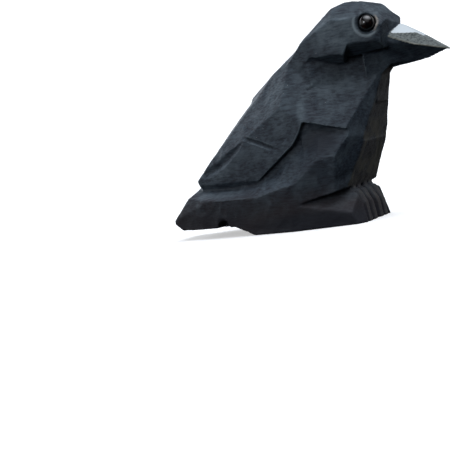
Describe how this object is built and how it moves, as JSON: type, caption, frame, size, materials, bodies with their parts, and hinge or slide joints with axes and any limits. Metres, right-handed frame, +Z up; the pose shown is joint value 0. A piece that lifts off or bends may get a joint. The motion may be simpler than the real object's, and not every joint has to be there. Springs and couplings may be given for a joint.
{
  "type": "carved crow figurine",
  "caption": "Small hand-carved wooden crow sitting on its breast and feet, with a heavy beak, folded wings and glass bead eyes.",
  "frame": {"origin": "centre of the figure's length and width, on the plane of the flat sole", "axes": "+X forward to the beak, +Y to the bird's left, +Z up"},
  "size_m": [0.0668, 0.0248, 0.0455],
  "materials": {
    "stained_wood": "matt black stain over knife-cut softwood, upper beak brushed with thin grey-white paint",
    "bead_glass": "glossy, nearly black brown"
  },
  "bodies": {
    "root": {"crow_body": "stained_wood", "eye_right": "bead_glass", "eye_left": "bead_glass"}
  },
  "joints": []
}
